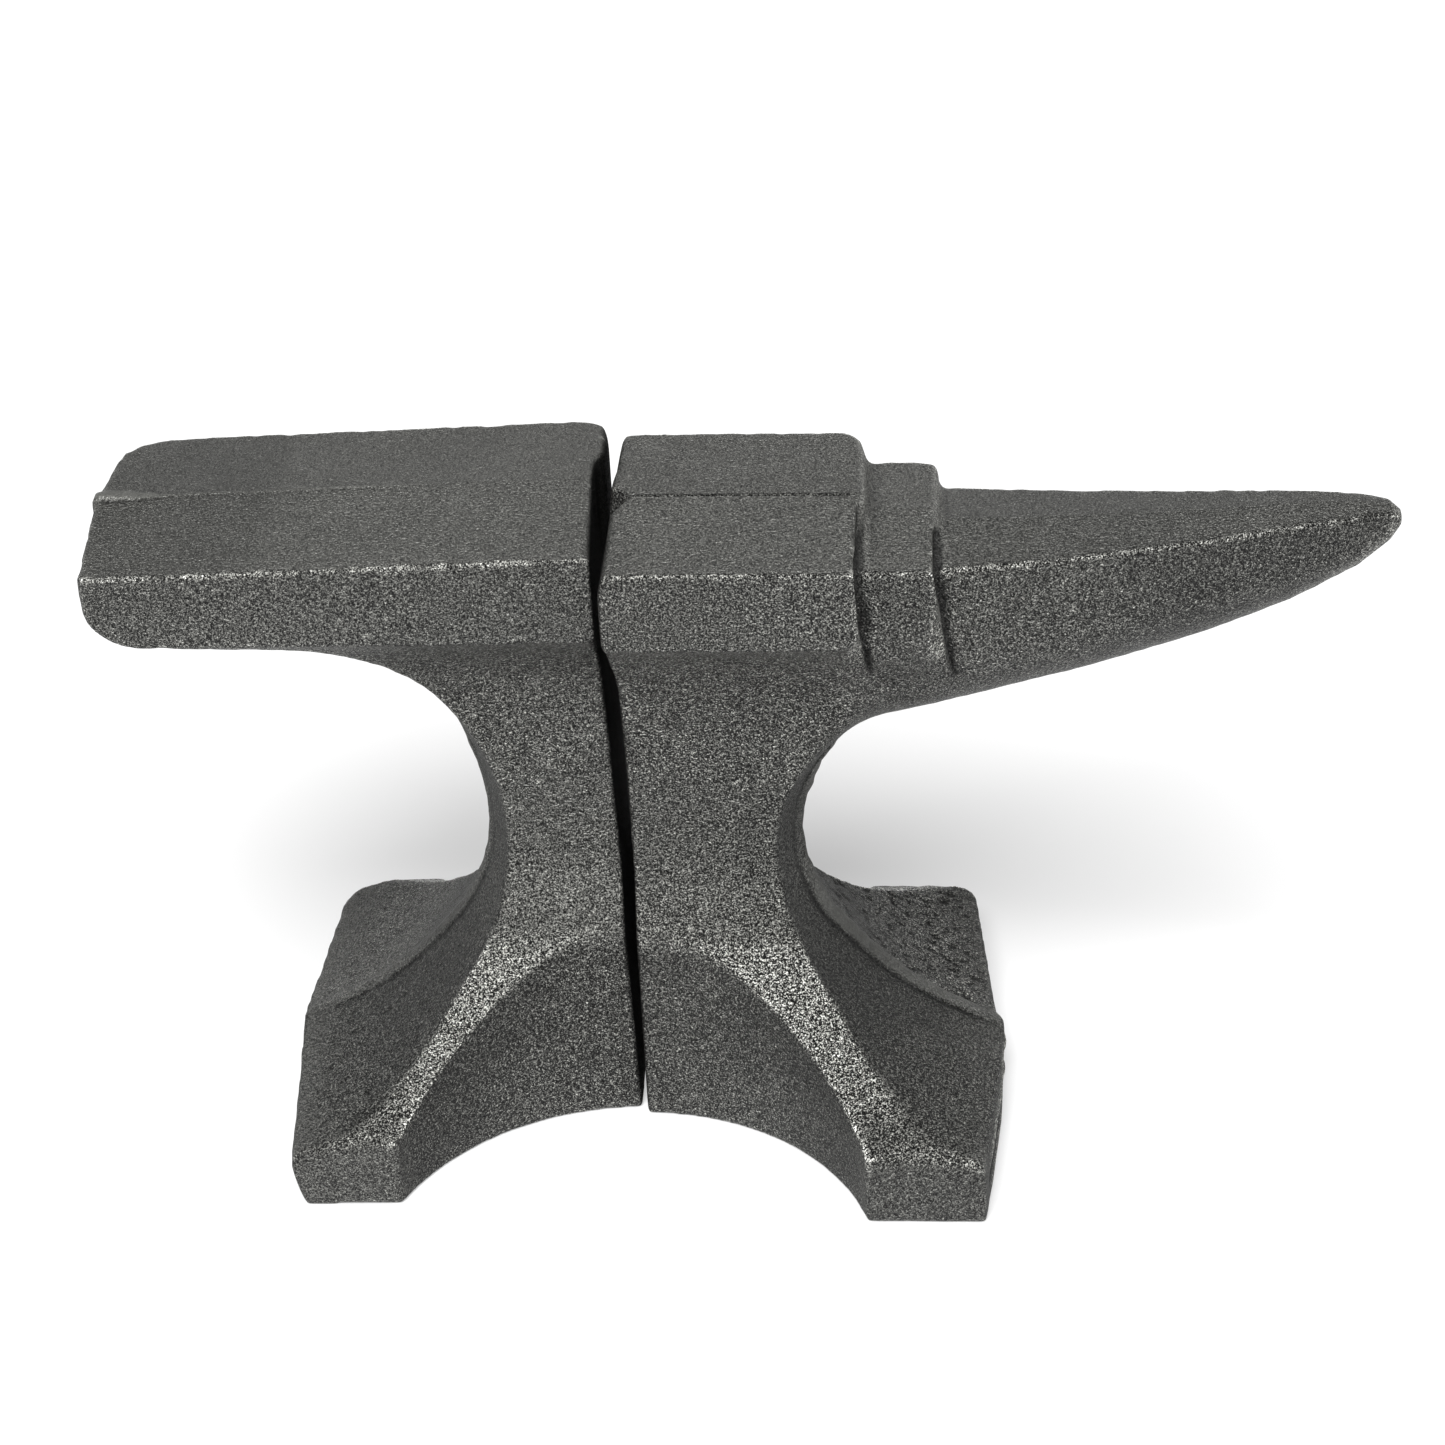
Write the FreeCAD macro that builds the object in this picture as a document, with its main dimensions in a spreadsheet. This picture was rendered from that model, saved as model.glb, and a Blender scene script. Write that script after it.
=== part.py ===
"""A split anvil: two free-standing iron castings that face each other across a saw-straight gap.

Frame: millimetres, +Z up, X along the anvil (horn at +X, heel at -X), Y across it. The origin is on the
floor, under the middle of the pair.
Each casting is drawn in a frame of its own, with its cut face at X = 0 and its parting plane at Y = 0, and
is then moved to where it stands. It left its mould along Y, so every outline is widest on that plane.
"""

import FreeCAD, Part
import math
import os
import Sketcher

FLOOR = 0.0
CUT = 0.0
PARTING = 0.0
ABOVE_TOP = 200.0
PAST_CUT = 10.0
PAST_ENDS = 140.0
SIDES = {"front": -1, "back": 1}
BLOCK_HEIGHTS = (140.0, ABOVE_TOP)
FOOT_HEIGHTS = (-10.0, 50.0)

DIMENSIONS = {
    # across the anvil: half widths from the parting plane, and heights
    "foot_half_depth": 60.0,
    "horn_front_foot_depth": 62.6,
    "heel_front_foot_depth": 60.0,
    "foot_edge_height": 20.5,
    "flare_radius": 93.0,
    "horn_flare_half_depth": 18.4,
    "heel_flare_half_depth": 20.6,
    "flare_height": 60.0,
    "shin_radius": 57.0,
    "waist_half_depth": 13.5,
    "waist_height": 82.0,
    "chest_radius": 220.0,
    "neck_half_depth": 19.5,
    "neck_height": 130.0,
    "neck_radius": 50.0,
    "block_half_depth": 36.2,
    "block_lower_height": 157.8,
    # the round bite between the two front feet, and its twin between the back feet
    "horn_bite_radius": 63.4,
    "horn_bite_centre": 81.8,
    "heel_bite_radius": 67.0,
    "heel_bite_centre": 87.6,
    # the side outlines are drawn on the parting plane and again this far out to each side
    "mould_half_depth": 64.0,
    # horn half on the parting plane
    "horn_foot_end": 96.3,
    "horn_foot_top": 19.8,
    "horn_foot_radius": 100.0,
    "horn_instep_end": 55.4,
    "horn_instep_height": 50.4,
    "horn_instep_radius": 48.5,
    "horn_waist_end": 43.7,
    "horn_throat_radius": 43.7,
    "horn_throat_end": 54.2,
    "horn_throat_height": 110.4,
    "horn_armpit_radius": 20.0,
    "horn_under_height": 115.4,
    "horn_block_end": 62.3,
    "horn_top": 181.7,
    "horn_cut_proud": 1.9,
    "horn_cut_top": 0.3,
    "horn_cut_shoulder": 173.0,
    "horn_cut_step_high": 158.0,
    "horn_cut_step_low": 138.0,
    # horn half at the side outline's outer edge
    "horn_foot_end_outer": 90.0,
    "horn_foot_top_outer": 19.2,
    "horn_foot_radius_outer": 104.0,
    "horn_instep_end_outer": 34.6,
    "horn_instep_height_outer": 51.8,
    "horn_instep_radius_outer": 60.0,
    "horn_waist_end_outer": 13.7,
    "horn_throat_radius_outer": 60.0,
    "horn_throat_end_outer": 36.0,
    "horn_throat_height_outer": 128.0,
    "horn_armpit_radius_outer": 60.0,
    "horn_under_height_outer": 157.0,
    "horn_block_end_outer": 60.0,
    "horn_top_outer": 177.2,
    # the table, a low step between the face block and the horn
    "table_start": 60.0,
    "table_end": 80.0,
    "table_half_depth": 28.2,
    "table_edge_height": 174.8,
    "table_roof": 2.2,
    "table_flank_half_depth": 26.7,
    "table_flank_height": 152.0,
    "table_keel_height": 124.0,
    "table_keel_radius": 60.0,
    # upright corners that are rounded off, each at its distance from the cut face
    "heel_tail_corner": 128.0,
    "heel_tail_back_round": 12.0,
    "heel_tail_front_round": 3.0,
    "heel_foot_corner": 89.3,
    "heel_foot_back_round": 7.0,
    "horn_block_corner": 61.0,
    "horn_block_back_round": 6.0,
    "horn_foot_corner": 90.2,
    "horn_foot_back_round": 3.0,
    # heel half on the parting plane, with distances counted away from its cut face
    "heel_foot_end": 93.3,
    "heel_foot_top": 18.8,
    "heel_foot_radius": 100.0,
    "heel_instep_end": 50.0,
    "heel_instep_height": 51.0,
    "heel_instep_radius": 52.5,
    "heel_waist_end": 37.5,
    "heel_throat_radius": 72.5,
    "heel_throat_end": 52.0,
    "heel_throat_height": 128.5,
    "heel_armpit_radius": 51.0,
    "heel_under_start": 85.0,
    "heel_under_height": 146.0,
    "heel_tail_start": 114.5,
    "heel_tail_height": 149.4,
    "heel_tail_radius": 20.7,
    "heel_tail_end": 129.8,
    "heel_tail_end_height": 171.0,
    "heel_tail_top": 129.3,
    "heel_tail_top_height": 180.3,
    "heel_cut_waist": 2.3,
    "heel_cut_waist_height": 100.0,
    "heel_cut_top": 2.2,
    "heel_cut_top_height": 183.9,
    # heel half at the side outline's outer edge
    "heel_foot_end_outer": 89.0,
    "heel_foot_top_outer": 17.2,
    "heel_foot_radius_outer": 104.0,
    "heel_instep_end_outer": 29.5,
    "heel_instep_height_outer": 51.8,
    "heel_instep_radius_outer": 60.0,
    "heel_waist_end_outer": 7.5,
    "heel_throat_radius_outer": 80.0,
    "heel_throat_end_outer": 33.0,
    "heel_throat_height_outer": 145.0,
    "heel_armpit_radius_outer": 80.0,
    "heel_under_height_outer": 163.5,
    "heel_tail_start_outer": 118.0,
    "heel_tail_height_outer": 164.0,
    "heel_tail_radius_outer": 8.5,
    "heel_tail_end_outer": 126.6,
    "heel_tail_end_height_outer": 171.0,
    "heel_tail_top_outer": 126.1,
    "heel_tail_top_height_outer": 175.5,
    "heel_cut_top_height_outer": 179.1,
    # where the horn half stands: its cut face and its parting plane, both short of the middle of the pair
    "horn_half_along": 30.7,
    "horn_half_across": 1.8,
    # where the heel half stands: the slit at the parting plane, how far back it stands, and its turn
    "heel_gap": 1.9,
    "heel_setback": 4.7,
    "heel_yaw": 1.0,
}

# The horn's sections: distance along the anvil, half width, height of the top edges, height of the keel.
HORN_STATIONS = [
    (48.0, 20.5, 171.2, 113.0),
    (80.0, 21.4, 171.2, 121.2),
    (115.0, 17.2, 172.4, 131.2),
    (145.0, 13.2, 174.3, 141.0),
    (168.0, 9.3, 176.2, 151.0),
    (183.0, 6.5, 177.0, 160.2),
    (190.5, 4.2, 176.6, 167.3),
    (193.2, 1.9, 175.0, 171.6),
]
HORN_FLANK_WIDTH = 0.94
HORN_FLANK_DEPTH = 0.45
HORN_ROOF = 0.12
HORN_KEEL_ROUNDNESS = 0.85
STATION_SIZES = ("along", "half_width", "edge_height", "keel_height")
for index, station in enumerate(HORN_STATIONS):
    for what, number in zip(STATION_SIZES, station):
        DIMENSIONS[f"horn_{what}_{index}"] = number

doc = FreeCAD.newDocument("split_anvil")
sheet = doc.addObject("Spreadsheet::Sheet", "dims")
for row, (alias, number) in enumerate(DIMENSIONS.items(), start=1):
    sheet.set(f"A{row}", alias)
    sheet.set(f"B{row}", str(number))
    sheet.setAlias(f"B{row}", alias)
doc.recompute()


class Size:
    """A length with its number and the spreadsheet expression that drives it."""

    def __init__(self, number, text):
        self.number = number
        self.text = text

    def __add__(self, other):
        other = size(other)
        return Size(self.number + other.number, f"({self.text} + {other.text})")

    def __sub__(self, other):
        other = size(other)
        return Size(self.number - other.number, f"({self.text} - {other.text})")

    def __mul__(self, factor):
        return Size(self.number * factor, f"({self.text} * {factor})")

    def __neg__(self):
        return self * -1


def size(value):
    if isinstance(value, Size):
        return value
    return Size(float(value), str(float(value)))


def dim(alias):
    return Size(float(sheet.get(alias)), f"dims.{alias}")


def arc_between(start, end, radius):
    """The short arc from start to end; a positive radius bulges to the right of the way from start to end."""
    chord = end - start
    middle = (start + end) * 0.5
    left = FreeCAD.Vector(-chord.y, chord.x, 0).normalize()
    lift = math.sqrt(radius * radius - chord.Length**2 / 4)
    centre = middle + left * lift * (1 if radius > 0 else -1)
    circle = Part.Circle(centre, FreeCAD.Vector(0, 0, 1), abs(radius))
    first = math.atan2(start.y - centre.y, start.x - centre.x)
    last = math.atan2(end.y - centre.y, end.x - centre.x)
    if radius < 0:
        first, last = last, first
    if last < first:
        last += 2 * math.pi
    return Part.ArcOfCircle(circle, first, last)


def add_outline(body, name, plane, offset, corners):
    """A closed sketch on one of the body's planes: each corner is (u, v, radius of the edge that follows)."""
    sketch = body.newObject("Sketcher::SketchObject", name)
    origin_plane = [f for f in body.Origin.OriginFeatures if f.Role == plane][0]
    sketch.AttachmentSupport = [(origin_plane, "")]
    sketch.MapMode = "FlatFace"
    offset = size(offset)
    sketch.AttachmentOffset = FreeCAD.Placement(FreeCAD.Vector(0, 0, offset.number), FreeCAD.Rotation())
    sketch.setExpression("AttachmentOffset.Base.z", offset.text)
    corners = [(size(u), size(v), radius) for u, v, radius in corners]
    points = [FreeCAD.Vector(u.number, v.number, 0) for u, v, _ in corners]
    ends = []
    for index, (_, _, radius) in enumerate(corners):
        start, end = points[index], points[(index + 1) % len(points)]
        if radius is None:
            edge = sketch.addGeometry(Part.LineSegment(start, end), False)
            ends.append((edge, 1, 2))
        else:
            edge = sketch.addGeometry(arc_between(start, end, radius.number), False)
            ends.append((edge, 1, 2) if radius.number > 0 else (edge, 2, 1))
    for index, (edge, first, _) in enumerate(ends):
        before, _, last = ends[index - 1]
        sketch.addConstraint(Sketcher.Constraint("Coincident", before, last, edge, first))
        for way, place in (("DistanceX", corners[index][0]), ("DistanceY", corners[index][1])):
            row = sketch.addConstraint(Sketcher.Constraint(way, -1, 1, edge, first, place.number))
            sketch.setExpression(f"Constraints[{row}]", place.text)
        radius = corners[index][2]
        if radius is not None:
            row = sketch.addConstraint(Sketcher.Constraint("Radius", edge, abs(radius.number)))
            length = radius if radius.number > 0 else -radius
            sketch.setExpression(f"Constraints[{row}]", length.text)
    return sketch


def mirrored(half):
    """The whole outline of a shape that is alike on both sides, from the corners of its positive side."""
    other = []
    for index in range(len(half) - 1, -1, -1):
        u, v, _ = half[index]
        radius = half[index - 1][2] if index else None
        other.append((-u, v, radius))
    return half + other


def add_stock(name, way):
    """The stock of one casting: the outline across the anvil, run along X past both of its ends."""
    stock = doc.addObject("PartDesign::Body", f"{name}_stock")
    front_foot = dim(f"{name}_front_foot_depth")
    half = [
        (dim("foot_half_depth"), FLOOR, None),
        (dim("foot_half_depth"), dim("foot_edge_height"), -dim("flare_radius")),
        (dim(f"{name}_flare_half_depth"), dim("flare_height"), -dim("shin_radius")),
        (dim("waist_half_depth"), dim("waist_height"), -dim("chest_radius")),
        (dim("neck_half_depth"), dim("neck_height"), -dim("neck_radius")),
        (dim("block_half_depth"), dim("block_lower_height"), None),
        (dim("block_half_depth"), ABOVE_TOP, None),
    ]
    corners = mirrored(half)
    corners[-2:] = [(-front_foot, dim("foot_edge_height"), None), (-front_foot, FLOOR, None)]
    outline = add_outline(stock, f"{name}_stock_across", "YZ_Plane", -way * PAST_CUT, corners)
    pad = stock.newObject("PartDesign::Pad", f"{name}_stock_length")
    pad.Profile = outline
    pad.Length = PAST_CUT + PAST_ENDS
    pad.Reversed = way < 0
    return stock


def add_side_view(name, way, on_parting, outer):
    """The outline along the anvil, which shrinks by its mould draft from the parting plane to both sides."""
    body = doc.addObject("PartDesign::Body", name)
    edge = dim("mould_half_depth")
    planes = [("front", edge, outer), ("parting", PARTING, on_parting), ("back", -edge, outer)]
    sections = []
    for place, offset, corners in planes:
        facing = [(size(x) * way, z, radius and radius * way) for x, z, radius in corners]
        sections.append(add_outline(body, f"{name}_{place}", "XZ_Plane", offset, facing))
    loft = body.newObject("PartDesign::AdditiveLoft", f"{name}_loft")
    loft.Profile = sections[0]
    loft.Sections = sections[1:]
    loft.Ruled = True
    return body


def horn_half_corners(where):
    """The horn half seen from the side, without its table and horn; where is "" or "_outer"."""

    def at(alias):
        return dim(f"horn_{alias}{where}")

    proud = -dim("horn_cut_proud")
    return [
        (CUT, FLOOR, None),
        (at("foot_end"), FLOOR, None),
        (at("foot_end"), at("foot_top"), -at("foot_radius")),
        (at("instep_end"), at("instep_height"), -at("instep_radius")),
        (at("waist_end"), dim("waist_height"), -at("throat_radius")),
        (at("throat_end"), at("throat_height"), -at("armpit_radius")),
        (at("block_end"), at("under_height"), None),
        (at("block_end"), at("top"), None),
        (-dim("horn_cut_top"), at("top"), None),
        (proud, dim("horn_cut_shoulder"), None),
        (proud, dim("horn_cut_step_high"), None),
        (CUT, dim("horn_cut_step_low"), None),
    ]


def heel_half_corners(where):
    """The heel half seen from the side, with distances counted away from its cut face."""

    def at(alias):
        return dim(f"heel_{alias}{where}")

    return [
        (CUT, FLOOR, None),
        (at("foot_end"), FLOOR, None),
        (at("foot_end"), at("foot_top"), -at("foot_radius")),
        (at("instep_end"), at("instep_height"), -at("instep_radius")),
        (at("waist_end"), dim("waist_height"), -at("throat_radius")),
        (at("throat_end"), at("throat_height"), -at("armpit_radius")),
        (dim("heel_under_start"), at("under_height"), None),
        (at("tail_start"), at("tail_height"), at("tail_radius")),
        (at("tail_end"), at("tail_end_height"), None),
        (at("tail_top"), at("tail_top_height"), None),
        (dim("heel_cut_top"), at("cut_top_height"), None),
        (dim("heel_cut_waist"), dim("heel_cut_waist_height"), None),
    ]


def add_keeled_section(body, name, along, edge, flank, roof, keel, keel_radius):
    """A section with a shallow roof, upright flanks and an underside rounded down to a keel."""
    half_width, edge_height = edge
    flank_width, flank_height = flank
    corners = [
        (PARTING, keel, keel_radius),
        (flank_width, flank_height, None),
        (half_width, edge_height, None),
        (PARTING, edge_height + roof, None),
        (-half_width, edge_height, None),
        (-flank_width, flank_height, keel_radius),
    ]
    return add_outline(body, name, "YZ_Plane", along, corners)


def add_horn():
    """The horn: sections that shrink along a rising keel to a blunt point."""
    horn = doc.addObject("PartDesign::Body", "horn")
    sections = []
    for index in range(len(HORN_STATIONS)):
        along, half_width, edge, keel = (dim(f"horn_{what}_{index}") for what in STATION_SIZES)
        flank_width = half_width * HORN_FLANK_WIDTH
        flank_height = edge - (edge - keel) * HORN_FLANK_DEPTH
        chord = math.hypot(flank_width.number, flank_height.number - keel.number)
        section = add_keeled_section(
            horn,
            f"horn_section_{index}",
            along,
            (half_width, edge),
            (flank_width, flank_height),
            half_width * HORN_ROOF,
            keel,
            size(HORN_KEEL_ROUNDNESS * chord),
        )
        sections.append(section)
    loft = horn.newObject("PartDesign::AdditiveLoft", "horn_loft")
    loft.Profile = sections[0]
    loft.Sections = sections[1:]
    loft.Ruled = True
    return horn


def add_table():
    """The table, one section run along X from inside the face block to the horn's root."""
    table = doc.addObject("PartDesign::Body", "table")
    section = add_keeled_section(
        table,
        "table_section",
        dim("table_start"),
        (dim("table_half_depth"), dim("table_edge_height")),
        (dim("table_flank_half_depth"), dim("table_flank_height")),
        dim("table_roof"),
        dim("table_keel_height"),
        dim("table_keel_radius"),
    )
    pad = table.newObject("PartDesign::Pad", "table_length")
    pad.Profile = section
    pad.setExpression("Length", "dims.table_end - dims.table_start")
    return table


def add_bites(name):
    """Two upright cylinders that scoop the round bites out of the front and the back of the base."""
    bites = []
    for place, way in SIDES.items():
        bite = doc.addObject("Part::Cylinder", f"{name}_{place}_bite")
        bite.setExpression("Radius", f"dims.{name}_bite_radius")
        bite.setExpression("Height", "dims.flare_height")
        bite.setExpression("Placement.Base.y", (dim(f"{name}_bite_centre") * way).text)
        bites.append(bite)
    both = doc.addObject("Part::MultiFuse", f"{name}_bites")
    both.Shapes = bites
    return both


def add_corner_waste(name, corner, outward, radius, height):
    """The waste outside one rounded upright corner; outward is the way out of the casting along X and Y."""
    waste = doc.addObject("PartDesign::Body", name)
    (x, y), (out_x, out_y) = corner, outward
    start_x, start_y = x - radius * out_x, y - radius * out_y
    past_x, past_y = x + PAST_CUT * out_x, y + PAST_CUT * out_y
    turn = out_x * out_y
    outline = [
        (start_x, y, -radius * turn),
        (x, start_y, None),
        (past_x, start_y, None),
        (past_x, past_y, None),
        (start_x, past_y, None),
    ]
    pad = waste.newObject("PartDesign::Pad", f"{name}_height")
    pad.Profile = add_outline(waste, f"{name}_outline", "XY_Plane", height[0], outline)
    pad.Length = height[1] - height[0]
    return waste


def add_casting(name, way, corners, extras, rounds):
    """One whole casting: the stock trimmed to its side view, extras joined on, then bites and corners cut."""
    body = doc.addObject("Part::MultiCommon", f"{name}_body")
    body.Shapes = [
        add_stock(name, way),
        add_side_view(f"{name}_side", way, corners(""), corners("_outer")),
    ]
    whole = body
    if extras:
        whole = doc.addObject("Part::MultiFuse", f"{name}_whole")
        whole.Shapes = [body] + extras
    wastes = [add_bites(name)]
    for place, depth, side, height in rounds:
        edge = (dim(f"{name}_{place}_corner") * way, dim(depth) * SIDES[side])
        radius = dim(f"{name}_{place}_{side}_round")
        tool_name = f"{name}_{place}_{side}_waste"
        wastes.append(add_corner_waste(tool_name, edge, (way, SIDES[side]), radius, height))
    waste = doc.addObject("Part::MultiFuse", f"{name}_waste")
    waste.Shapes = wastes
    casting = doc.addObject("Part::Cut", f"{name}_casting")
    casting.Base = whole
    casting.Tool = waste
    casting.Refine = True
    return casting


def stop_if_unsound(castings):
    """Raise an error if any feature failed, or a casting isn't one valid solid."""
    for item in doc.Objects:
        if "Invalid" in item.State or "Error" in item.State:
            raise RuntimeError(f"{item.Name} failed: {item.State}")
    for casting in castings:
        shape = casting.Shape
        if shape.isNull() or not shape.isValid() or len(shape.Solids) != 1:
            raise RuntimeError(f"{casting.Label} is not one valid solid")


horn_rounds = [
    ("block", "block_half_depth", "back", BLOCK_HEIGHTS),
    ("foot", "foot_half_depth", "back", FOOT_HEIGHTS),
]
heel_rounds = [
    ("tail", "block_half_depth", "back", BLOCK_HEIGHTS),
    ("tail", "block_half_depth", "front", BLOCK_HEIGHTS),
    ("foot", "foot_half_depth", "back", FOOT_HEIGHTS),
]
horn_half = add_casting("horn", 1, horn_half_corners, [add_table(), add_horn()], horn_rounds)
horn_half.Label = "horn_half"
heel_half = add_casting("heel", -1, heel_half_corners, [], heel_rounds)
heel_half.Label = "heel_half"
horn_half.setExpression("Placement.Base.x", "-dims.horn_half_along")
horn_half.setExpression("Placement.Base.y", "-dims.horn_half_across")
heel_half.setExpression("Placement.Base.x", "-dims.horn_half_along - dims.heel_gap")
heel_half.setExpression("Placement.Base.y", "dims.heel_setback - dims.horn_half_across")
heel_half.setExpression("Placement.Rotation.Angle", "dims.heel_yaw")
doc.recompute()
stop_if_unsound([horn_half, heel_half])

os.makedirs("parts", exist_ok=True)
for casting in (horn_half, heel_half):
    casting.Shape.exportStep(f"parts/{casting.Label}.step")
    print(casting.Label, round(casting.Shape.Volume), "mm3", casting.Shape.BoundBox)
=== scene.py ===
"""Looks of the split anvil: two sand-cast iron halves that stand on a plain pale floor."""

import math
from dataclasses import dataclass

import bmesh
import bpy
import numpy as np
from mathutils import Matrix, Vector, noise
from mathutils.bvhtree import BVHTree


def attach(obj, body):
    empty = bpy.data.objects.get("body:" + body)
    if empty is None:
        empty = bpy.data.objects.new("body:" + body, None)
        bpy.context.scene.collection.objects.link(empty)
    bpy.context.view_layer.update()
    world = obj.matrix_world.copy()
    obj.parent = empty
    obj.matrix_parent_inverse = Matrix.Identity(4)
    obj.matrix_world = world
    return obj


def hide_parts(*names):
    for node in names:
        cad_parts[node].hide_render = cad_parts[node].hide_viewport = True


MM = 0.001
VOXEL = 0.9 * MM
WELD = 0.01 * MM
CUT_TOLERANCE = 0.02 * MM
FLOOR_TOLERANCE = 0.001 * MM
# where the mesh is cut along the parting plane and beside it, in millimetres across
SEAM_ROWS = (0.0, -0.5, 0.5, -1.1, 1.1, -1.8, 1.8, -3.0, 3.0)

# the camera: where it stands in the row frame, how far it looks down, left of +Y and leans
CAMERA_PLACE = Vector((0.05777, -0.76337, 0.60251))
CAMERA_DOWN = math.radians(32.57)
CAMERA_LEFT = math.radians(4.84)
CAMERA_LEAN = math.radians(-2.85)
CAMERA_LENS = 87.81
HEEL_YAW = math.radians(1.0)
IRON_COLOUR = (0.074, 0.074, 0.069)

# the light: a broad sun from the front, high above the horizon and a little to the left
KEY_STRENGTH = 5.6
KEY_BREADTH = math.radians(30)
KEY_HEIGHT = math.radians(56)
KEY_LEFT = math.radians(-6)
SKY_STRENGTH = 0.3
FLOOR_PALENESS = 0.44
FLOOR_GLOW = 0.38
FLOOR_REACH = 6.0
WHITE = (1.0, 1.0, 1.0, 1.0)

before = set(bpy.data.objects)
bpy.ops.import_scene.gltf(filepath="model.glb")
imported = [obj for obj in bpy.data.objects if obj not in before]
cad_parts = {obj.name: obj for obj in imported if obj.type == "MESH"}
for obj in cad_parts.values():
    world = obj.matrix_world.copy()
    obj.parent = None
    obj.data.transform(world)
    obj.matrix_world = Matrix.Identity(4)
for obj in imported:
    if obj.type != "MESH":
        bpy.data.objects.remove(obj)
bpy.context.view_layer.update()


@dataclass
class Half:
    """What sets one half apart: where it points, its front bite in millimetres and its marks' strengths."""

    node: str
    way: int
    yaw: float
    seed: int
    bite_centre: float
    bite_radius: float
    # torn skin on the tops of the feet: all over them, and on the back foot only
    torn_all_over: float
    torn_behind: float
    # contrast of the grain: everywhere, then what is added on foot tops, in the bites and under the overhang
    grain: float
    foot_grain: float
    bite_grain: float
    overhang_grain: float
    # lightness of the waist, strength of the painted highlight on the front foot's top edge, and how much of
    # the feet's outer faces darkens
    waist_tone: float
    foot_line_tone: float
    feet_share: float
    # 1 on the half with the horn: painted shade on its tip, a darker table and lighter steps, and the streaks
    #                              on the foot's end
    horn_marks_and_painted_light: int


HORN = Half(
    node="horn_half", way=1, yaw=0.0, seed=1, bite_centre=81.8, bite_radius=63.4,
    torn_all_over=0.0, torn_behind=1.0, grain=1.0, foot_grain=0.2, bite_grain=0.15, overhang_grain=-0.25,
    waist_tone=0.02, foot_line_tone=1.5, feet_share=1.0, horn_marks_and_painted_light=1)
HEEL = Half(
    node="heel_half", way=-1, yaw=HEEL_YAW, seed=11, bite_centre=87.6, bite_radius=67.0,
    torn_all_over=0.3, torn_behind=0.0, grain=0.8, foot_grain=0.6, bite_grain=0.7, overhang_grain=0.6,
    waist_tone=0.26, foot_line_tone=0.5, feet_share=0.3, horn_marks_and_painted_light=0)


def make_camera():
    data = bpy.data.cameras.new("camera")
    data.lens = CAMERA_LENS
    data.sensor_width = 36.0
    data.clip_start = 0.05
    data.clip_end = 20.0
    camera = bpy.data.objects.new("camera", data)
    bpy.context.scene.collection.objects.link(camera)
    turn = Matrix.Rotation(CAMERA_LEFT, 4, "Z")
    tilt = Matrix.Rotation(math.pi / 2 - CAMERA_DOWN, 4, "X")
    lean = Matrix.Rotation(CAMERA_LEAN, 4, "Z")
    camera.matrix_world = Matrix.Translation(CAMERA_PLACE) @ turn @ tilt @ lean
    bpy.context.scene.camera = camera


def make_studio():
    """One broad soft light from the front and above, and a weak even sky."""
    data = bpy.data.lights.new("key", "SUN")
    data.energy = KEY_STRENGTH
    data.angle = KEY_BREADTH
    key = bpy.data.objects.new("key", data)
    turn = Matrix.Rotation(KEY_LEFT, 4, "Z")
    tilt = Matrix.Rotation(math.pi / 2 - KEY_HEIGHT, 4, "X")
    key.matrix_world = turn @ tilt
    bpy.context.scene.collection.objects.link(key)
    world = bpy.data.worlds.new("studio")
    world.use_nodes = True
    background = world.node_tree.nodes["Background"]
    background.inputs["Color"].default_value = WHITE
    background.inputs["Strength"].default_value = SKY_STRENGTH
    bpy.context.scene.world = world
    bpy.context.scene.view_settings.view_transform = "Standard"


def make_floor():
    mesh = bpy.data.meshes.new("floor")
    corners = [(x * FLOOR_REACH, y * FLOOR_REACH, 0) for x, y in ((-1, -1), (1, -1), (1, 1), (-1, 1))]
    mesh.from_pydata(corners, [], [(0, 1, 2, 3)])
    floor = bpy.data.objects.new("floor", mesh)
    bpy.context.scene.collection.objects.link(floor)
    paper = bpy.data.materials.new("pale_glowing_floor")
    paper.use_nodes = True
    shader = paper.node_tree.nodes["Principled BSDF"]
    shader.inputs["Base Color"].default_value = (*[FLOOR_PALENESS] * 3, 1.0)
    shader.inputs["Roughness"].default_value = 0.9
    # the floor glows a little, painted light that lifts the shadows on it
    shader.inputs["Emission Color"].default_value = WHITE
    shader.inputs["Emission Strength"].default_value = FLOOR_GLOW
    mesh.materials.append(paper)


def fine_mesh(node):
    """A copy of a CAD node's mesh, closed and then rebuilt from even small faces."""
    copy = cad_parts[node].copy()
    copy.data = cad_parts[node].data.copy()
    closed = bmesh.new()
    closed.from_mesh(copy.data)
    bmesh.ops.remove_doubles(closed, verts=closed.verts, dist=WELD)
    closed.to_mesh(copy.data)
    closed.free()
    bpy.context.scene.collection.objects.link(copy)
    remesh = copy.modifiers.new("even", "REMESH")
    remesh.mode = "VOXEL"
    remesh.voxel_size = VOXEL
    remesh.use_smooth_shade = True
    shown = copy.evaluated_get(bpy.context.evaluated_depsgraph_get())
    mesh = bpy.data.meshes.new_from_object(shown)
    bpy.data.objects.remove(copy)
    return mesh


def points_of(mesh):
    places = np.empty(len(mesh.vertices) * 3)
    mesh.vertices.foreach_get("co", places)
    return places.reshape(-1, 3)


def set_points(mesh, places):
    mesh.vertices.foreach_set("co", places.ravel())
    mesh.update()


def normals_of(mesh):
    ways = np.empty(len(mesh.vertices) * 3)
    mesh.vertices.foreach_get("normal", ways)
    return ways.reshape(-1, 3)


def edges_of(mesh):
    ends = np.empty(len(mesh.edges) * 2, dtype=np.int64)
    mesh.edges.foreach_get("vertices", ends)
    return ends.reshape(-1, 2)


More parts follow.
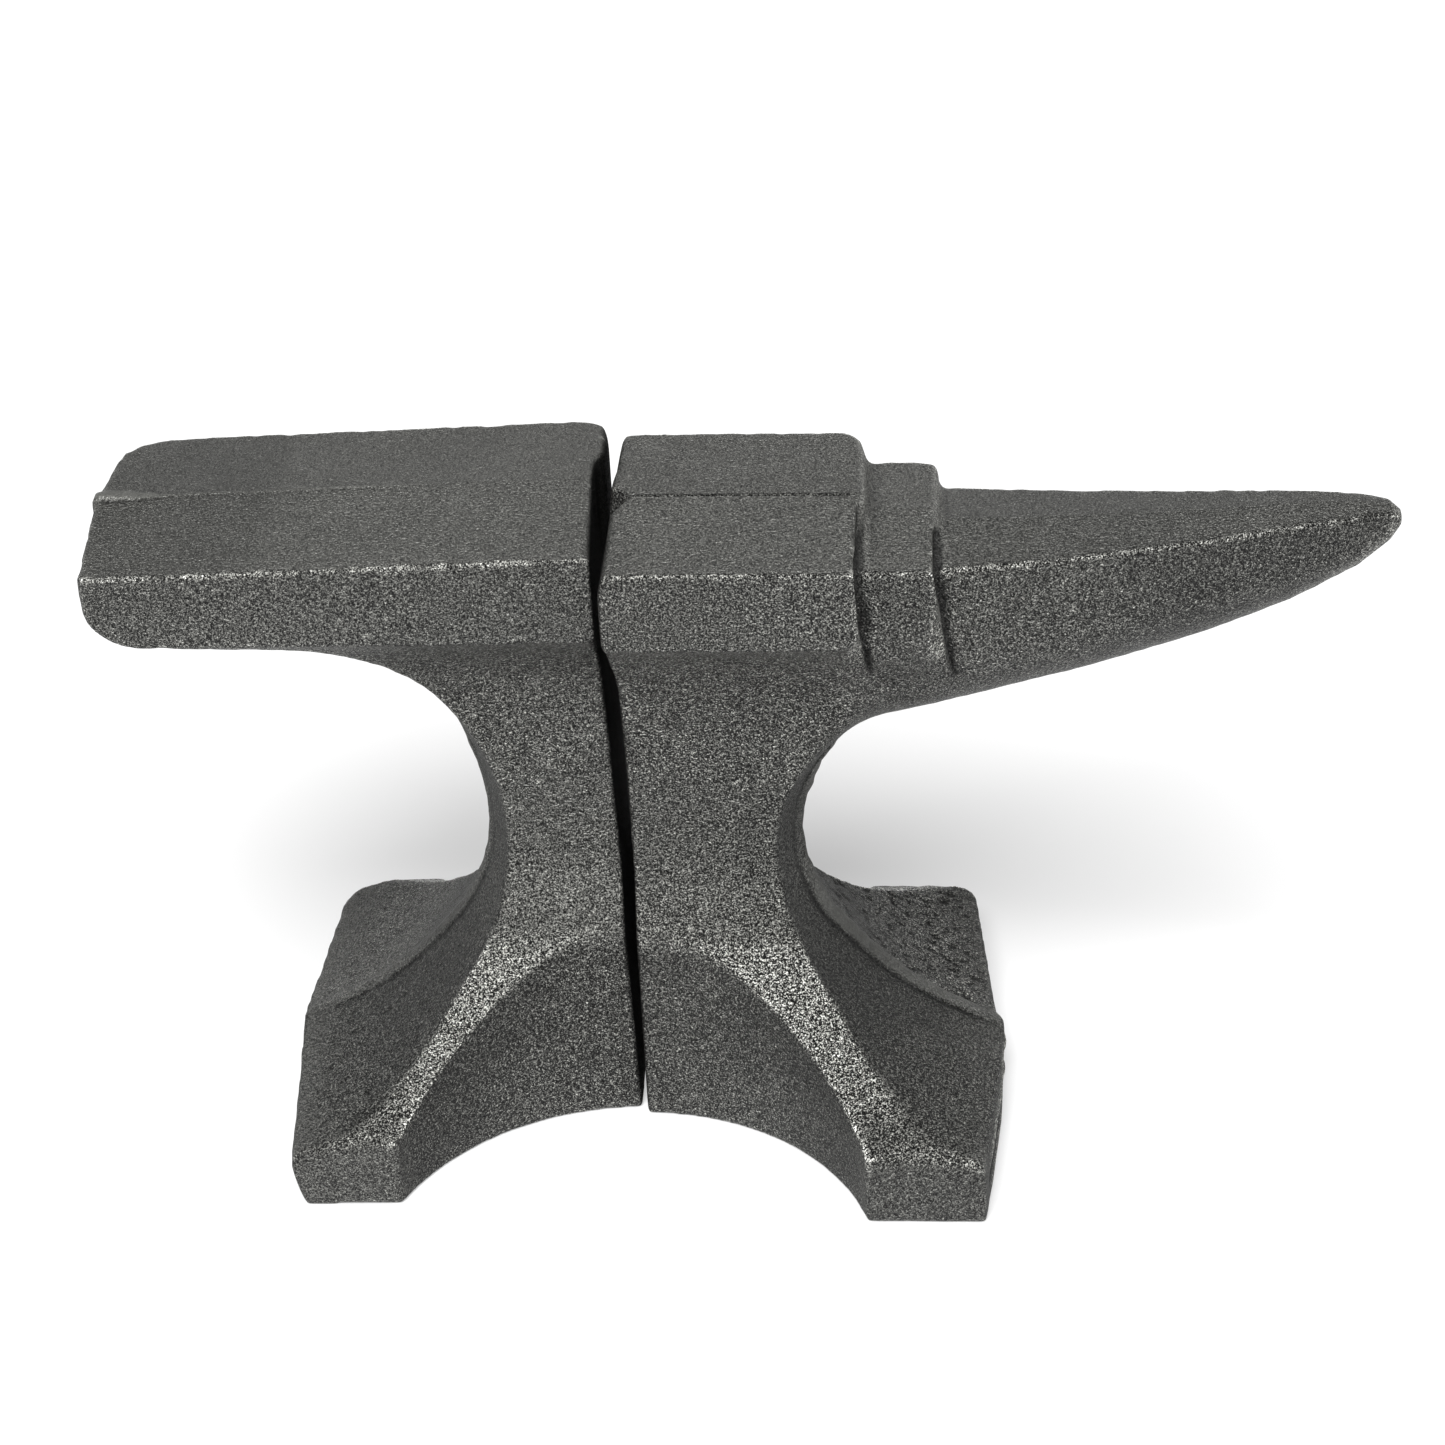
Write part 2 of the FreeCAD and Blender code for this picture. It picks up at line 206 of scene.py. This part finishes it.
def smoothed(values, edges, rounds, share=0.5):
    """Values at the vertices, each moved towards its neighbours' mean so many times."""
    count = np.bincount(edges.ravel(), minlength=len(values))[:, None]
    for _ in range(rounds):
        total = np.zeros_like(values)
        for axis in range(values.shape[1]):
            total[:, axis] += np.bincount(edges[:, 0], values[edges[:, 1], axis], len(values))
            total[:, axis] += np.bincount(edges[:, 1], values[edges[:, 0], axis], len(values))
        values = values + share * (total / count - values)
    return values


def snapped(places, mesh):
    """Each point moved to the nearest place on the mesh."""
    faces = [face.vertices[:] for face in mesh.polygons]
    tree = BVHTree.FromPolygons([vertex.co for vertex in mesh.vertices], faces)
    return np.array([tree.find_nearest(Vector(place))[0] for place in places])


def perlin(places, scale, seed):
    """Smooth noise from about -1 to 1 at each point; scale is the size of one lump."""
    shift = Vector((seed * 17.3, seed * 5.9, seed * 11.1))
    return np.array([noise.noise(Vector(p) / scale + shift) for p in places])


def eased(share):
    share = np.clip(share, 0, 1)
    return share * share * (3 - 2 * share)


def near(values, centre, reach):
    """1 at the centre, falling smoothly to 0 at the reach."""
    return eased(1 - np.abs(values - centre) / reach)


def above(values, level, blur):
    """0 below the level and 1 above it, rising smoothly over the blur."""
    return eased((values - level) / blur + 0.5)


def below(values, level, blur):
    """1 below the level and 0 above it, falling smoothly over the blur."""
    return eased((level - values) / blur + 0.5)


def between(values, low, high, blur):
    """1 between low and high, falling smoothly to 0 over the blur on each side."""
    return np.minimum(above(values, low, blur), below(values, high, blur))


class Casting:
    """One half of the anvil in its own frame: along from its cut face, across from its parting plane."""

    def __init__(self, half):
        self.half = half
        corners = points_of(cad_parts[half.node].data)
        self.low, self.high = corners.min(axis=0), corners.max(axis=0)
        widest = (corners[corners[:, 1].argmin()] + corners[corners[:, 1].argmax()]) / 2
        self.along_axis = np.array([math.cos(half.yaw), math.sin(half.yaw), 0.0]) * half.way
        self.across_axis = np.array([-math.sin(half.yaw), math.cos(half.yaw), 0.0])
        on_floor = corners[corners[:, 2] < FLOOR_TOLERANCE]
        cut = (on_floor @ self.along_axis).min()
        self.start = self.along_axis * cut + self.across_axis * (widest @ self.across_axis)

    def local(self, places):
        """Along, across and height of each point, in millimetres."""
        away = places - self.start
        return away @ self.along_axis / MM, away @ self.across_axis / MM, places[:, 2] / MM

    def moved(self, places, along=0.0, up=0.0):
        """The points moved by so many millimetres."""
        return (places + np.outer(along * np.ones(len(places)) * MM, self.along_axis)
                + np.outer(up * np.ones(len(places)) * MM, (0.0, 0.0, 1.0)))


def with_seam_rows(mesh, casting):
    """The mesh cut along the parting plane and beside it, so that the seam has points to ride on."""
    cuts = bmesh.new()
    cuts.from_mesh(mesh)
    middle = Vector(casting.start)
    across = Vector(casting.across_axis)
    for offset in SEAM_ROWS:
        everything = cuts.verts[:] + cuts.edges[:] + cuts.faces[:]
        place = middle + across * (offset * MM)
        bmesh.ops.bisect_plane(cuts, geom=everything, dist=CUT_TOLERANCE, plane_co=place, plane_no=across)
    bmesh.ops.triangulate(cuts, faces=[face for face in cuts.faces if len(face.verts) > 4])
    cuts.to_mesh(mesh)
    cuts.free()
    mesh.update()


def seam_width(along, height):
    """Half the width of the seam, in millimetres: thin on top, broad at the heel's end and down the feet."""
    return 0.9 + 1.3 * between(along, 116, 140, 14) + 2.3 * between(height, -10, 130, 30)


def horn_seam(along, height):
    """How far the horn half's seam stands proud, in millimetres."""
    foot = between(along, 44, 96, 6) * between(height, 22, 110, 12)
    end = between(along, 88, 100, 4) * between(height, 2, 24, 4)
    keel = between(along, 66, 200, 10) * between(height, 105, 170, 8)
    cut_edge = near(along, -2.5, 4) * above(height, 172, 4)
    return np.maximum(foot, 0.4 * end) + 0.25 * keel + 1.2 * cut_edge


def heel_seam(along, height):
    """How far the heel half's seam stands proud, in millimetres."""
    top = between(along, 50, 140, 5) * between(height, 172, 190, 4) * (0.3 + 0.9 * above(along, 114, 16))
    foot = between(along, 38, 96, 6) * between(height, 22, 110, 12)
    end = between(along, 112, 140, 6) * between(height, 140, 173, 4)
    return 1.1 * top + 0.5 * foot + 0.3 * end


def horn_crevices(along, across, height):
    """1 down in the two crevices in front of the parting plane that set the table off from block and horn."""
    drop = 172 - height
    by_block = near(along, 61.6 + 0.05 * drop, 1.5) * between(across, -40, -4, 7) * above(height, 144, 10)
    by_horn = near(along, 80.3 + 0.11 * drop, 1.5) * between(across, -40, -6, 8) * above(height, 141, 10)
    return np.clip(by_block + by_horn, 0, 1)


def no_crevices(along, across, height):
    return np.zeros(len(along))


def soft_crease(casting, places, edges):
    """The crease along the top of each front foot fades out, while the rim of the round bite stays sharp."""
    along, across, height = casting.local(places)
    from_bite = np.hypot(along, across + casting.half.bite_centre) - casting.half.bite_radius
    soft = between(height, 17, 46, 10) * below(across, -22, 10) * above(from_bite, 3.5, 4)
    return smoothed(places, edges, 40, 0.5 * soft[:, None])


def shape_horn_half(casting, places, edges):
    """The table and the horn flow into the neck below them, and the block's ends are well rounded."""
    along, across, height = casting.local(places)
    places = soft_crease(casting, places, edges)
    under = between(along, 50, 88, 8) * between(height, 100, 157, 7)
    places = smoothed(places, edges, 70, 0.5 * under[:, None])
    ends = (near(along, 61, 6) + near(along, 79, 6)) * above(height, 150, 6)
    places = smoothed(places, edges, 14, 0.5 * np.clip(ends, 0, 1)[:, None])
    cut_end = near(along, -1, 7) * above(height, 150, 6)
    places = smoothed(places, edges, 5, 0.5 * cut_end[:, None])
    # the two mould halves met a little out of line, which leaves a step along the top of the block
    top = between(along, -6, 60, 4) * above(height, 174, 4)
    ledge = 0.4 * between(across, 0.3, 40, 0.9) * (1 - np.clip(across / 16, 0, 1))
    step = ledge + 0.6 * near(across, 0.5, 1.0)
    # the cut edge is broken away at the parting line, and stands back a little behind it
    notch = near(across, 0.2, 7.5) * 3.2 * above(height, 171, 9) + 0.5 * above(across, 15, 8)
    notch -= 0.8 * above(across, 4, 5) * above(height, 165, 9)
    notch *= np.clip(1 - along / 9, 0, 1) * above(height, 160, 14)
    # the foot's end steps back behind the parting plane
    foot_end = between(along, 70, 120, 24) * below(height, 40, 20)
    foot_end *= 1.2 * below(across, -14, 24) - 1.7 * above(across, 1, 4)
    # the top edge of the front foot is a little higher near the bite
    rise = near(height, 20.5, 9) * below(across, -50, 12) * np.clip((92 - along) / 35, 0, 1)
    return casting.moved(places, along=notch + foot_end, up=1.2 * rise - top * step)


def shape_heel_half(casting, places, edges):
    """The cut runs off line near the top, so that the cut edge bows inwards behind the middle."""
    along, across, height = casting.local(places)
    places = soft_crease(casting, places, edges)
    slant = np.clip((across + 35.5) / 43.5, 0, 1) * (1 - above(across, 13, 10))
    bow = slant * np.clip((height - 115) / 55, 0, 1) * np.clip(1 - along / 14, 0, 1) ** 2
    # at the waist the back of the cut face stands further out than its front
    waist = above(across, 1, 16) * between(height, 35, 150, 30) * np.clip(1 - along / 10, 0, 1)
    # the foot's end leans inwards near the floor
    lean = between(along, 70, 120, 24) * np.clip(1 - height / 14, 0, 1) ** 1.5 * below(across, -10, 30)
    places = casting.moved(places, along=2.9 * bow - 1.6 * waist - 2.6 * lean)
    ends = near(along, 0, 7) * above(height, 150, 6)
    places = smoothed(places, edges, 6, 0.5 * ends[:, None])
    corner = near(along, 0, 12) * above(height, 140, 10) * above(across, 27, 6)
    return smoothed(places, edges, 50, 0.5 * corner[:, None])


def turning(places, ways, edges):
    """How sharply the surface turns at each point, in millimetres: outwards is positive, inwards negative."""
    turn = ((places - smoothed(places, edges, 4)) * ways).sum(axis=1)[:, None]
    return smoothed(turn, edges, 1)[:, 0] / MM


class Zones:
    """Where each point of a casting lies and faces. A zone is 1 inside and 0 outside, with a soft border."""

    def __init__(self, casting, places, ways, edges):
        half = casting.half
        along, across, height = casting.local(places)
        self.along, self.across, self.height = along, across, height
        self.sideways = np.clip(np.abs(ways @ casting.across_axis), 0, 1)
        self.endways = np.clip(np.abs(ways @ casting.along_axis), 0, 1)
        self.upward = np.clip(ways[:, 2], 0, 1)
        self.sharp = np.clip(turning(places, ways, edges) / 0.12, 0, 1)
        # the face that the two halves turn to each other
        self.sawn = between(along, -6, 4.5, 1.0) * np.clip(-(ways @ casting.along_axis), 0, 1) ** 3
        self.foot_top = between(along, 30, 100, 8) * between(height, 20, 75, 10) * (1 - self.sideways)
        self.foot_end = between(along, 84, 110, 8) * between(across, -52, 6, 10)
        self.foot_end *= above(self.endways, 0.6, 0.4)
        self.under = between(height, 100, 158, 12) * above(-ways[:, 2], 0.12, 0.1)
        # the undersides of the horn and of the heel
        self.overhang = self.under * above(along, 66, 16)
        # the flared band that spreads from the waist down to the edge of each foot, where a highlight is
        # painted into the colour
        self.flare = between(height, 21, 58, 10) * between(self.sideways, 0.4, 0.95, 0.2)
        self.flare *= above(self.upward, 0.28, 0.2)
        behind = between(across, 3, 70, 6) * between(along, -9, 92, 20)
        self.torn = half.torn_all_over + half.torn_behind * behind
        # low down beside the cut face, and the walls of the round bites there
        self.near_cut = below(height, 56, 8) * below(along, 58, 4) * between(np.abs(across), -1, 56, 3)
        self.bite = self.near_cut * above(self.sideways, 0.3, 0.2) * (1 - above(self.upward, 0.15, 0.15))
        self.feet = below(height, 19, 4) * above(self.sideways, 0.8, 0.2) * above(np.abs(across), 50, 6)
        self.feet *= half.feet_share
        lines = near(height, 13, 3.5) - near(height, 8, 3) + 0.7 * near(height, 3.5, 3)
        self.streak = 1.6 * self.foot_end * lines * half.horn_marks_and_painted_light
        pits = np.clip(perlin(places * (1, 1.8, 1), 3.2 * MM, half.seed + 6) - 0.12, 0, 1)
        self.torn_pits = self.torn * self.foot_top * pits * 1.2


def first_grain(zones):
    """Contrast of the grain: strongest on the sides, weak on the tops and inside the throats."""
    grain = 0.42 + 0.58 * above(zones.sideways, 0.35, 0.4)
    fore = between(zones.across, -70, -22, 30)
    grain = np.maximum(grain, np.sqrt(zones.foot_top) * (0.75 + 0.25 * zones.torn + 0.35 * fore))
    smooth_from = 40 + 24 * below(zones.across, -3, 6)
    throat = between(zones.height, smooth_from, 150, 10) * (1 - above(zones.sideways, 0.3, 0.2))
    return grain * (1 - 0.6 * throat)


def full_grain(grain, zones, half, banded):
    """The grain's contrast as the material shows it, with each half's own strengths."""
    grain = grain * (1 + 0.35 * zones.under + half.overhang_grain * zones.overhang)
    grain *= 1 + 1.6 * zones.foot_end
    behind = 0.7 * zones.foot_top * (zones.across > 4)
    grain *= 1 + half.foot_grain * zones.foot_top + behind + half.bite_grain * zones.bite
    return grain * (1 - 0.7 * banded) * (1 + 0.45 * zones.flare - 0.25 * zones.feet) * half.grain


def tone_with_painted_light_of(zones, half, turn, banded):
    """How light the iron is painted at each point, 1 being the plain colour: much of it is painted light and
    shade.
    """
    along, across, height = zones.along, zones.across, zones.height
    raised = above(height, 146, 8)
    hip = between(height, 38, 74, 26) * above(zones.sideways, 0.85, 0.2) * (1 - zones.flare)
    hip *= 1 - zones.near_cut
    top = above(zones.upward, 0.9, 0.15) * above(height, 150, 10)
    slope = between(height, 18, 80, 10) * above(along, 40, 8) * (1 - above(zones.sideways, 0.3, 0.2))
    # painted highlight on the flared bands; the tops and the hips' front faces are also made lighter as
    # painted light
    tone = 1 + 1.75 * zones.flare * (0.5 + 0.5 * above(height, 30, 14)) + 0.45 * hip + 0.22 * top
    # painted shade in the round bites and on the foot slopes under the overhang; the feet's outer faces are
    # made darker
    tone -= 0.2 * zones.feet + 0.22 * zones.bite + 0.25 * slope * (1 - zones.flare)
    # painted shade on the faces that look along the anvil, away from the light
    tone -= 0.35 * above(zones.endways, 0.6, 0.5) * (1 - raised)
    # on the horn half, painted shade on the horn's sides towards its tip; the table's sides are made a little
    # darker and the steps' end faces lighter
    if half.horn_marks_and_painted_light:
        tip = between(along, 120, 260, 90) * above(zones.sideways, 0.3, 0.3)
        table = between(along, 62, 80, 3) * above(height, 150, 10) * above(zones.sideways, 0.3, 0.3)
        steps = above(zones.endways, 0.4, 0.3) * raised * (along > 20)
        tone += steps - 0.36 * tip - 0.1 * table
    waist = between(height, 66, 142, 16) * above(zones.sideways, 0.6, 0.2)
    tone += half.waist_tone * waist - 0.24 * top * above(along, 84, 8) + 0.9 * zones.streak
    # painted highlight along the top edge of the front feet
    foot_line = np.clip(turn / 0.16, 0, 1) ** 2 * between(height, 17, 25, 2) * below(across, -52, 3)
    tone += half.foot_line_tone * foot_line
    # in front of the parting plane the ends of the casting lie in shade
    shady = below(across, -2.5, 2) * between(height, 24, 140, 16) * above(zones.endways, 0.35, 0.3)
    # painted shade: the cut faces are darkened almost to black, as the slit between the halves lies in
    # shadow; the seam's band is made lighter
    tone *= (1 - 0.93 * zones.sawn) * (1 + 0.9 * banded)
    tone *= 1 - 0.25 * shady * (1 - zones.flare) * (1 - banded)
    # painted shade under the overhangs and on the feet's ends
    return tone - 0.1 * zones.overhang - 0.1 * zones.foot_end


def base_shape(casting, mesh, edges, shape):
    """The even mesh brought back onto the CAD surface, smooth near the floor, with its larger forms."""
    places = snapped(smoothed(points_of(mesh), edges, 5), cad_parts[casting.half.node].data)
    places = smoothed(places, edges, 2)
    base = np.clip(1 - places[:, 2] / (5 * MM), 0, 1)[:, None]
    places = smoothed(places, edges, 5, 0.5 * base)
    return shape(casting, places, edges)


def skin_offset(zones, places, seed, grain, crevice):
    """How far the cast skin stands out, in millimetres: sagging, grit, scales, torn skin and chips."""
    lumps = 0.20 * perlin(places, 26 * MM, seed) + 0.05 * perlin(places, 8 * MM, seed + 1)
    grit = 0.07 * grain * perlin(places, 2.2 * MM, seed + 2)
    chips = zones.sharp * np.clip(perlin(places, 4 * MM, seed + 3) + 0.1, 0, 1) * 0.45
    scaly = 0.28 * zones.flare * perlin(places * (1, 1, 1.5), 4 * MM, seed + 8)
    ragged_skin = 0.34 * zones.torn * zones.foot_top * perlin(places * (1, 1.5, 1), 2.4 * MM, seed + 7)
    offset = lumps + grit + ragged_skin + scaly + 0.35 * zones.streak - chips - 2.0 * crevice
    return (offset - zones.torn_pits) * (1 - zones.sawn)


def seam_line(zones, places, seed):
    """How many seam widths away each point is, and the ridge's smooth and ragged heights as shares of 1."""
    wander = 0.35 * perlin(places * (1, 0, 1), 9 * MM, seed + 4)
    away = (zones.across - wander) / seam_width(zones.along, zones.height)
    ridge = np.clip(1.35 - 1.35 * away ** 4, 0, 1)
    ragged = 0.75 + 0.5 * perlin(places * (1, 0, 1), 3 * MM, seed + 5)
    return away, ridge, ridge * ragged


def hollow_of(zones, turn, crevice, away):
    """1 where shade is painted: in creases, crevices, torn pits and along the front of the seam."""
    rim = near(away, -1.2, 0.32) * between(zones.height, 22, 100, 10) * between(zones.along, 36, 96, 8)
    rim *= above(zones.endways, 0.1, 0.1)
    sunk = 0.8 * np.clip(-turn / 0.14, 0, 1) + crevice + 0.55 * rim + 1.1 * zones.torn_pits
    return np.clip(sunk, 0, 1)


def edge_highlight_of(zones, turn):
    """1 on the upper edges, where a highlight is painted into the colour."""
    upper = between(zones.upward, 0.22, 0.985, 0.1) * above(zones.sideways, 0.12, 0.1)
    upper *= 1 - between(zones.height, 26, 145, 8)
    return np.clip(turn / 0.18, 0, 1) ** 3.4 * upper


def make_casting(half, seam, shape, crevices):
    casting = Casting(half)
    mesh = fine_mesh(half.node)
    with_seam_rows(mesh, casting)
    edges = edges_of(mesh)
    places = base_shape(casting, mesh, edges, shape)
    set_points(mesh, places)
    ways = normals_of(mesh).copy()
    zones = Zones(casting, places, ways, edges)
    grain = first_grain(zones)
    crevice = crevices(zones.along, zones.across, zones.height)
    away, ridge, ragged_ridge = seam_line(zones, places, half.seed)
    proud = seam(zones.along, zones.height)
    offset = skin_offset(zones, places, half.seed, grain, crevice) + ragged_ridge * proud
    # the base stays flat on the floor
    offset *= np.clip(zones.height / 3, 0, 1)
    places = places + ways * (offset * MM)[:, None]
    places = np.clip(places, casting.low, casting.high)
    set_points(mesh, places)

    turn = turning(places, normals_of(mesh), edges)
    banded = ridge * np.clip(proud, 0, 1)
    layers = {
        "coarse": full_grain(grain, zones, half, banded),
        "edge": edge_highlight_of(zones, turn),
        "hollow": hollow_of(zones, turn, crevice, away),
        "tone": tone_with_painted_light_of(zones, half, turn, banded),
        "endways": zones.endways + zones.sawn,
        "sawn": zones.sawn,
    }
    for name, values in layers.items():
        layer = mesh.attributes.new(name, "FLOAT", "POINT")
        layer.data.foreach_set("value", values.astype(np.float32))
    piece = bpy.data.objects.new(f"{half.node}_casting", mesh)
    bpy.context.scene.collection.objects.link(piece)
    mesh.materials.clear()
    mesh.materials.append(cast_iron())
    mesh.shade_smooth()
    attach(piece, half.node)
    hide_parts(half.node)


class Nodes:
    """Short calls to build a material's node tree."""

    def __init__(self, tree):
        self.tree = tree

    def add(self, kind, values=(), **settings):
        node = self.tree.nodes.new(kind)
        for name, value in settings.items():
            setattr(node, name, value)
        for name, value in dict(values).items():
            if isinstance(value, bpy.types.NodeSocket):
                self.tree.links.new(value, node.inputs[name])
            else:
                node.inputs[name].default_value = value
        return node

    def layer(self, name):
        """One of the castings' values at each point."""
        return self.add("ShaderNodeAttribute", attribute_name=name).outputs["Fac"]

    def noise(self, values):
        return self.add("ShaderNodeTexNoise", values).outputs["Fac"]

    def math(self, operation, first, second, third=0.0):
        return self.add("ShaderNodeMath", {0: first, 1: second, 2: third}, operation=operation).outputs[0]


def cast_iron():
    """Raw grey iron: pebbly sand grain in the bump, dark pits and bright grains in the colour, with painted
    light and shade from the castings' layers.
    """
    material = bpy.data.materials.get("cast_iron")
    if material:
        return material
    material = bpy.data.materials.new("cast_iron")
    material.use_nodes = True
    nodes = Nodes(material.node_tree)
    shader = material.node_tree.nodes["Principled BSDF"]
    coords = nodes.add("ShaderNodeTexCoord").outputs["Object"]
    millimetres = nodes.add("ShaderNodeMapping", {"Vector": coords, "Scale": (1000.0, 1000.0, 1000.0)})
    where = millimetres.outputs["Vector"]
    coarse = nodes.layer("coarse")
    edge = nodes.layer("edge")
    hollow = nodes.layer("hollow")
    shade = nodes.layer("tone")
    grain = nodes.noise({"Vector": where, "Scale": 1.5, "Detail": 1.0, "Roughness": 0.6})
    fine = nodes.noise({"Vector": where, "Scale": 2.9, "Detail": 0.0})
    cloud = nodes.noise({"Vector": where, "Scale": 0.045, "Detail": 3.0})
    relief = nodes.math("MULTIPLY", nodes.math("ADD", grain, nodes.math("MULTIPLY", fine, 0.4)), coarse)
    bump = nodes.add("ShaderNodeBump", {"Height": relief, "Strength": 1.0, "Distance": 2.2 * MM})
    # dark pits and bright grains, in strong contrast on the pebbly sides and in weak contrast on the tops
    mixed = nodes.math("SUBTRACT", nodes.math("MULTIPLY_ADD", fine, 1.1, grain), 1.05)
    lift = nodes.math("MULTIPLY_ADD", mixed, nodes.math("MULTIPLY", coarse, 3.3), 1.0)
    speck = nodes.math("POWER", nodes.math("MAXIMUM", lift, 0.15), 2.2)
    tone = nodes.math("MULTIPLY", speck, nodes.math("MULTIPLY_ADD", cloud, 0.3, 0.85))
    tone = nodes.math("MULTIPLY", tone, shade)
    # painted highlight on the upper edges, broken up by the fine noise
    edge_highlight = nodes.math("MULTIPLY_ADD", nodes.math("MULTIPLY", edge, fine), 4.5, 1.0)
    tone = nodes.math("MULTIPLY", tone, edge_highlight)
    # painted shade in the hollows
    tone = nodes.math("MULTIPLY", tone, nodes.math("MULTIPLY_ADD", hollow, -0.85, 1.0))
    # painted glints: a few grains in each square centimetre get a bright dot in the colour
    cells = nodes.add("ShaderNodeTexVoronoi", {"Vector": where, "Scale": 0.6})
    dot = nodes.math("LESS_THAN", cells.outputs["Distance"], 0.17)
    luck = nodes.add("ShaderNodeSeparateColor", {"Color": cells.outputs["Color"]}).outputs[0]
    chosen = nodes.math("GREATER_THAN", luck, 0.9)
    spark = nodes.math("MULTIPLY", nodes.math("MULTIPLY", dot, chosen), nodes.math("MULTIPLY", coarse, shade))
    tone = nodes.math("MULTIPLY_ADD", spark, 2.0, tone)
    colour = nodes.add("ShaderNodeVectorMath", {0: IRON_COLOUR}, operation="SCALE")
    links = material.node_tree.links
    links.new(tone, colour.inputs["Scale"])
    links.new(bump.outputs["Normal"], shader.inputs["Normal"])
    links.new(colour.outputs["Vector"], shader.inputs["Base Color"])
    rough = nodes.add("ShaderNodeMapRange", {"Value": fine, "From Min": 0.3, "From Max": 0.7,
                                             "To Min": 0.34, "To Max": 0.46})
    endways = nodes.layer("endways")
    dull = nodes.math("MULTIPLY_ADD", nodes.math("POWER", endways, 2.0), 0.35, rough.outputs["Result"])
    links.new(dull, shader.inputs["Roughness"])
    # the cut faces get almost no specular, so that their painted shade stays black
    sawn = nodes.layer("sawn")
    links.new(nodes.math("MULTIPLY_ADD", sawn, -0.46, 0.5), shader.inputs["Specular IOR Level"])
    shader.inputs["Metallic"].default_value = 0.5
    return material


make_camera()
make_studio()
make_floor()
make_casting(HORN, horn_seam, shape_horn_half, horn_crevices)
make_casting(HEEL, heel_seam, shape_heel_half, no_crevices)
